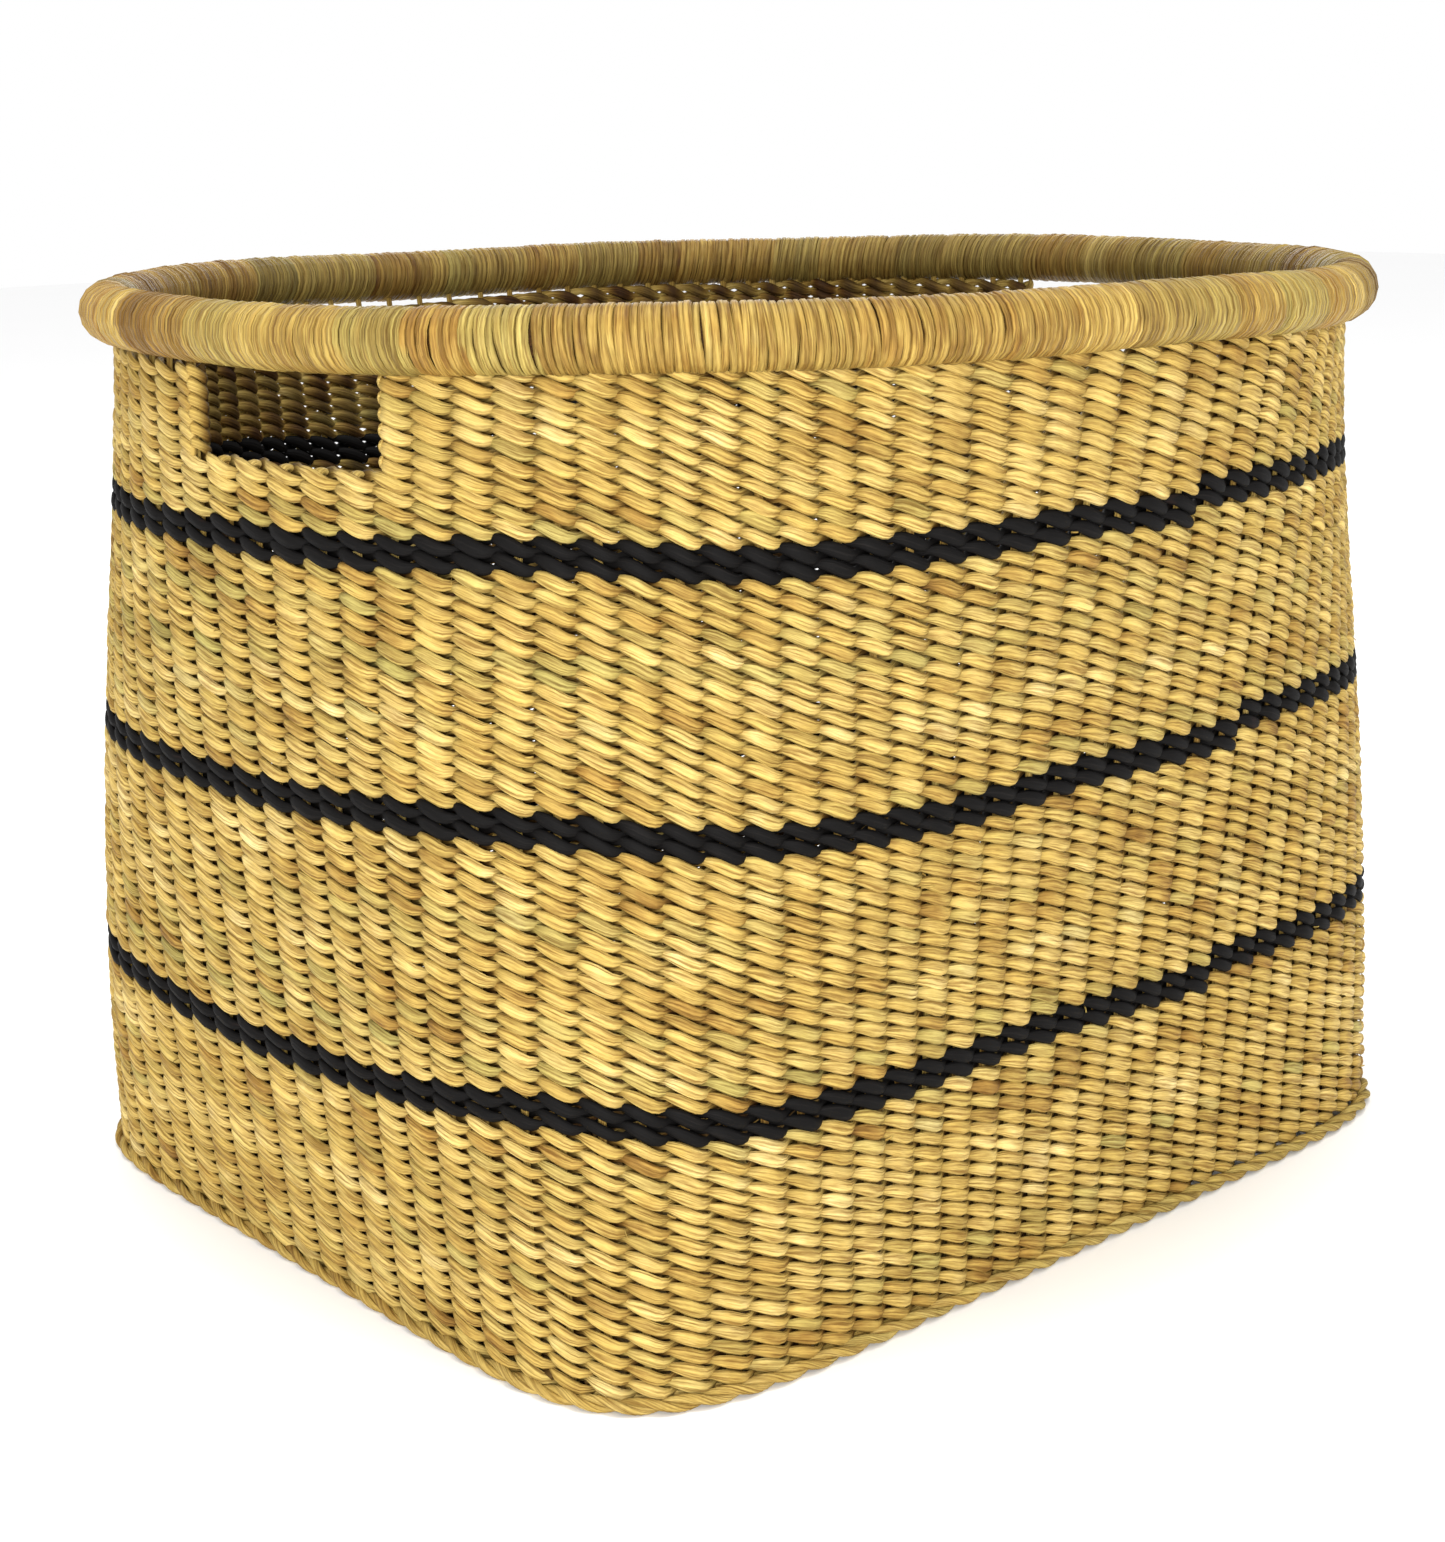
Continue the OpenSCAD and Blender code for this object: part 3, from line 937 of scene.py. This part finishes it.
def wrapped_strand(rng):
    """The strand wound round the rim: lengths of grass that bulge a little, turn beside turn."""
    r = bpy.context.scene.basket_rim
    offset = rim_offset()
    dense, length = dense_outline(WALL_TOP, offset)
    width = np.clip(rng.normal(1, 0.11, r.turns), 0.7, 1.4)
    place = np.concatenate([[0], np.cumsum(width)])
    place *= length[-1] / place[-1]
    turn = np.arange(r.turns * WRAP_POINTS) / WRAP_POINTS
    whole = turn.astype(int)
    spin = 2 * math.pi * turn
    uneven = rng.normal(0, 1, (2, r.turns))
    lean, wander = (np.interp(turn, np.arange(r.turns), row) for row in uneven)
    around = np.interp(turn, np.arange(r.turns + 1), place)
    around = around - (0.0012 + 0.0003 * lean) * np.sin(spin) + 0.00028 * wander * np.cos(spin)
    angle = np.interp(around % length[-1], length, dense)
    lengths = rng.integers(7, 15, r.turns // 7 + 2)
    patch = np.repeat(np.arange(len(lengths)), lengths)[: r.turns]
    starts = np.cumsum(lengths) - lengths
    inside = (turn - starts[patch[whole]]) / lengths[patch[whole]]
    bulge = 0.00035 * np.sin(math.pi * np.clip(inside, 0, 1)) ** 0.5
    half_depth = r.wrap_depth / 2
    coil = r.rim_radius - half_depth - 0.0004 + bulge + 0.00013 * rng.normal(0, 1, r.turns)[whole]
    middle, out = wall_frame(angle, np.full(angle.shape, WALL_TOP), -offset)
    middle[:, 2] = middle_height("rim_core")
    middle[:, 2] += 0.0006 * np.sin(3 * angle + 1) + 0.0004 * np.sin(7 * angle)
    normal = about(spin, out, UPWARD)
    grain = wrap_grain(patch, len(lengths), rng)[whole]
    # Painted shade: the side of each turn that faces into the basket is painted darker.
    painted_inward_shade = np.clip(0.25 - np.cos(spin), 0, 1)
    grain[:, 2] = darker(grain[:, 2], 0.35 * painted_inward_shade)
    half_side = 0.63 * length[-1] / r.turns * width[whole]
    centre = middle + coil[:, None] * normal
    return tube(centre, sideways(out), normal, half_side, half_depth, 6, grain, closed=True)


def wrap_grain(patch, count, rng):
    """Grain of each turn round the rim, from the length of grass that it belongs to."""
    turns = len(patch)
    shade = np.clip(0.38 + rng.normal(0, 0.065, count), 0.1, 0.9)[patch]
    shade = shade + rng.normal(0, 0.05, turns)
    green = np.clip(rng.normal(0.1, 0.35, count), 0, 0.7)[patch] * rng.uniform(0.6, 1, turns)
    light = 0.60 + rng.normal(0, 0.05, count)[patch] + rng.normal(0, 0.07, turns)
    return np.stack([shade, green, np.clip(light, 0, 1)], -1)


def rim_bundle():
    """The plain bundle of grass inside the wrapped strand."""
    r = bpy.context.scene.basket_rim
    ring = np.linspace(0, 2 * math.pi, BUNDLE_POINTS, endpoint=False)
    middle, out = wall_frame(ring, np.full(ring.shape, WALL_TOP), -rim_offset())
    middle[:, 2] = middle_height("rim_core")
    half = r.rim_radius - r.wrap_depth
    grain = np.tile([0.15, 0.0, 0.3], (BUNDLE_POINTS, 1))
    return tube(middle, UPWARD, out, half, half, 16, grain, closed=True)


class BASKET_OT_wrap_rim(bpy.types.Operator):
    """Wrap the strand round the bundle of the rim"""

    bl_idname = "basket.wrap_rim"
    bl_label = "Wrap rim"

    def execute(self, context):
        rng = np.random.default_rng(context.scene.basket_weave.seed + 300)
        wrap = finish_named("rim_grass", dried_grass, shift=-0.02, roughness=0.42)
        new_piece("rim_wrap_strand", [wrapped_strand(rng)], wrap, ["rim_wrap"])
        bundle = finish_named("bundle_grass", dried_grass, shift=-0.2, bright=0.6)
        new_piece("rim_bundle", [rim_bundle()], bundle, ["rim_core"])
        return {"FINISHED"}


class BASKET_OT_lay_foot_rope(bpy.types.Operator):
    """Lay the twisted rope round the foot"""

    bl_idname = "basket.lay_foot_rope"
    bl_label = "Lay foot rope"

    def execute(self, context):
        w, r = context.scene.basket_weave, context.scene.basket_rim
        rng = np.random.default_rng(w.seed + 400)
        count = r.rope_twists * POINTS_PER_TWIST
        turn = np.linspace(0, 2 * math.pi, count, endpoint=False)
        offset = highest("foot_rope").x - r.rope_depth / 2 - OUTLINE[0, 0]
        dense, length = dense_outline(0.0, offset)
        angle = np.interp(turn / (2 * math.pi) * length[-1], length, dense)
        middle, out = wall_frame(angle, 0 * angle, -offset)
        middle[:, 2] = r.rope_depth / 2
        twisted = 2 * math.pi * r.rope_twists * np.arange(count) / count
        half = 0.27 * r.rope_depth
        coil = r.rope_depth / 2 - half
        parts = []
        for start in (0, math.pi):
            spin = start - twisted
            normal, across = about(spin, out, UPWARD), about(spin, UPWARD, -out)
            stitch = np.arange(count) / (POINTS_PER_TWIST / 2)
            grain = strand_colours(stitch, rng, patch=(9, 30))
            centre = middle + coil * normal
            parts.append(tube(centre, across, normal, 1.12 * half, half, 10, grain, closed=True))
        material = finish_named("rope_grass", dried_grass, shift=-0.05, bright=0.92)
        new_piece("foot_rope_strands", parts, material, ["foot_rope"])
        return {"FINISHED"}


class BASKET_OT_weave_base(bpy.types.Operator):
    """Twine the base across its stakes"""

    bl_idname = "basket.weave_base"
    bl_label = "Weave base"

    def execute(self, context):
        w = context.scene.basket_weave
        rng = np.random.default_rng(w.seed + 500)
        half_length, half_width = half_sizes("base_weave_lower")
        n = context.scene.basket_shape.bottom_squareness
        pitch_y = (highest("base_stakes").y - w.stake_width / 2) / (BASE_STAKES // 2)
        knots = np.arange(BASE_STAKES + 2) - BASE_STAKES // 2 - 1
        knots_y = knots * pitch_y
        stake_y = knots_y[1:-1]
        middle_z = middle_height("base_stakes")
        pitch = (ROW_EDGES[3] - ROW_EDGES[2]) / BANDS[2][1]
        count = int(2 * (half_length - 0.002) // pitch)
        rows_x = (np.arange(count) - (count - 1) / 2) * pitch
        reach = (highest("base_weave_upper").z - lowest("base_weave_lower").z - w.strand_depth) / 2
        lengthwise, crosswise = np.array([1.0, 0.0, 0.0]), np.array([0.0, 1.0, 0.0])
        runs = {0: [], 1: []}
        for x in rows_x:
            limit = (half_width - 0.002) * (1 - (abs(x) / half_length) ** n) ** (1 / n)
            stop = float(np.interp(limit, knots_y, knots))
            end = math.floor(stop * POINTS_PER_STAKE)
            p = np.arange(-end, end + 1) / POINTS_PER_STAKE
            y = np.interp(p, knots, knots_y)
            for lead in (0, 1):
                phase = math.pi * (p + lead)
                swing = twist(phase)
                uneven = np.interp(p, knots, rng.normal(0, 1, len(knots)))
                sway = x + w.slant * np.sin(phase) + 0.0002 * uneven
                centre = np.stack([sway, y, middle_z + reach * swing], -1)
                half = w.strand_height / 2 * fullness(phase) * (1 + 0.05 * uneven)
                # Painted shade: darker and browner on the base's upper face, inside the basket.
                grain = paint_inner_shade(strand_colours(p + 20, rng), -swing)
                up = np.broadcast_to(UPWARD, centre.shape)
                halves = (half, w.strand_depth / 2)
                runs[lead].append(tube(centre, lengthwise, up, *halves, STRAND_SIDES, grain))
        nodes = ["base_weave_lower", "base_weave_upper"]
        new_piece("base_weft_first", runs[0], straw_grass(), nodes)
        new_piece("base_weft_second", runs[1], straw_grass(), nodes)
        shape = (BASE_STAKES, 30)
        x = np.linspace(-1, 1, shape[1]) * (half_length - 0.003)
        centre = np.zeros((*shape, 3))
        centre[..., 0] = x * (1 - (np.abs(stake_y)[:, None] / half_width) ** n) ** (1 / n)
        centre[..., 1] = stake_y[:, None]
        centre[..., 2] = middle_z
        side, up = (np.broadcast_to(way, centre.shape) for way in (crosswise, UPWARD))
        halves = [np.full(shape, size / 2) for size in (w.stake_width, w.stake_depth)]
        grain = strand_colours(np.arange(math.prod(shape)) / 15, rng).reshape(*shape, 3)
        rods = tubes(centre, side, up, *halves, STRAND_SIDES, grain)
        new_piece("base_stake_rods", [rods], stake_grass(), ["base_stakes"])
        return {"FINISHED"}


# Lamps: name, place, length and width, and watts. They all look at a point inside the basket.
LAMPS = (
    ("key", (-1.15, -1.25, 0.45), (1.3, 0.7), 27),
    ("top", (-0.1, -0.1, 2.5), (1.0, 1.0), 36),
    ("back", (1.3, 1.5, 0.9), (1.2, 0.8), 7),
)
LIT_HEIGHT = 0.17
FLOOR_REACH = 6


def placed(x, y, z, place):
    """Matrix with the given axes and place."""
    rows = np.eye(4)
    rows[:3] = np.stack([x, y, z, place], -1)
    return Matrix(rows.tolist())


def lay_floor(scene):
    r = FLOOR_REACH
    mesh = bpy.data.meshes.new("floor")
    mesh.from_pydata([(-r, -r, 0), (r, -r, 0), (r, r, 0), (-r, r, 0)], [], [(0, 1, 2, 3)])
    floor = bpy.data.objects.new("floor", mesh)
    scene.collection.objects.link(floor)
    mesh.materials.append(finish_named("floor_paper", floor_paper))


def hang_lamps(scene):
    for name, place, size, power in LAMPS:
        light = bpy.data.lights.new(name, "AREA")
        light.shape = "RECTANGLE"
        light.size, light.size_y, light.energy = *size, power
        lamp = bpy.data.objects.new(name, light)
        scene.collection.objects.link(lamp)
        z = np.array(place) - LIT_HEIGHT * UPWARD
        z /= np.linalg.norm(z)
        x = np.cross(UPWARD, z)
        x /= np.linalg.norm(x)
        lamp.matrix_world = placed(x, np.cross(z, x), z, place)


def set_camera(scene):
    v = scene.basket_view
    camera = bpy.data.objects.new("camera", bpy.data.cameras.new("camera"))
    scene.collection.objects.link(camera)
    camera.data.sensor_fit = "VERTICAL"
    camera.data.sensor_height = 36
    camera.data.lens = v.lens
    camera.data.clip_start = 0.01
    heading = v.azimuth + v.turn
    flat = np.array([-math.sin(heading), math.cos(heading), 0])
    forward = flat * math.cos(v.tilt) + math.sin(v.tilt) * UPWARD
    right = np.array([flat[1], -flat[0], 0])
    up = np.cross(right, forward)
    x = right * math.cos(v.roll) + up * math.sin(v.roll)
    place = (math.sin(v.azimuth) * v.distance, -math.cos(v.azimuth) * v.distance, v.height)
    camera.matrix_world = placed(x, np.cross(-forward, x), -forward, place)
    scene.camera = camera


class BASKET_OT_set_stage(bpy.types.Operator):
    """Set the floor, the lights and the camera"""

    bl_idname = "basket.set_stage"
    bl_label = "Set stage"

    def execute(self, context):
        scene = context.scene
        lay_floor(scene)
        world = scene.world or bpy.data.worlds.new("studio")
        scene.world = world
        world.use_nodes = True
        world.node_tree.nodes["Background"].inputs["Color"].default_value = (1, 1, 1, 1)
        world.node_tree.nodes["Background"].inputs["Strength"].default_value = 1.0
        scene.view_settings.view_transform = "Standard"
        hang_lamps(scene)
        set_camera(scene)
        return {"FINISHED"}


class BASKET_PT_panel(bpy.types.Panel):
    """The basket's settings and steps"""

    bl_label = "Woven Market Basket"
    bl_idname = "BASKET_PT_panel"
    bl_space_type = "VIEW_3D"
    bl_region_type = "UI"
    bl_category = "Basket"

    def draw(self, context):
        for group in GROUPS:
            settings = getattr(context.scene, group)
            for name in type(settings).__annotations__:
                self.layout.prop(settings, name)
        for operator in OPERATORS:
            self.layout.operator(operator.bl_idname)


GROUPS = {
    "basket_shape": BasketShape,
    "basket_weave": WeaveSettings,
    "basket_rim": RimSettings,
    "basket_colours": ColourSettings,
    "basket_view": ViewSettings,
}
OPERATORS = (
    BASKET_OT_set_stakes,
    BASKET_OT_weave_base,
    BASKET_OT_weave_wall,
    BASKET_OT_trim_ends,
    BASKET_OT_finish_hand_holes,
    BASKET_OT_wrap_rim,
    BASKET_OT_lay_foot_rope,
    BASKET_OT_set_stage,
)


def register():
    for item in (*GROUPS.values(), *OPERATORS, BASKET_PT_panel):
        bpy.utils.register_class(item)
    for name, group in GROUPS.items():
        setattr(bpy.types.Scene, name, PointerProperty(type=group))


def unregister():
    for name in GROUPS:
        delattr(bpy.types.Scene, name)
    for item in reversed((*GROUPS.values(), *OPERATORS, BASKET_PT_panel)):
        bpy.utils.unregister_class(item)


def main():
    register()
    for operator in OPERATORS:
        group, name = operator.bl_idname.split(".")
        getattr(getattr(bpy.ops, group), name)()


if __name__ == "__main__":
    main()
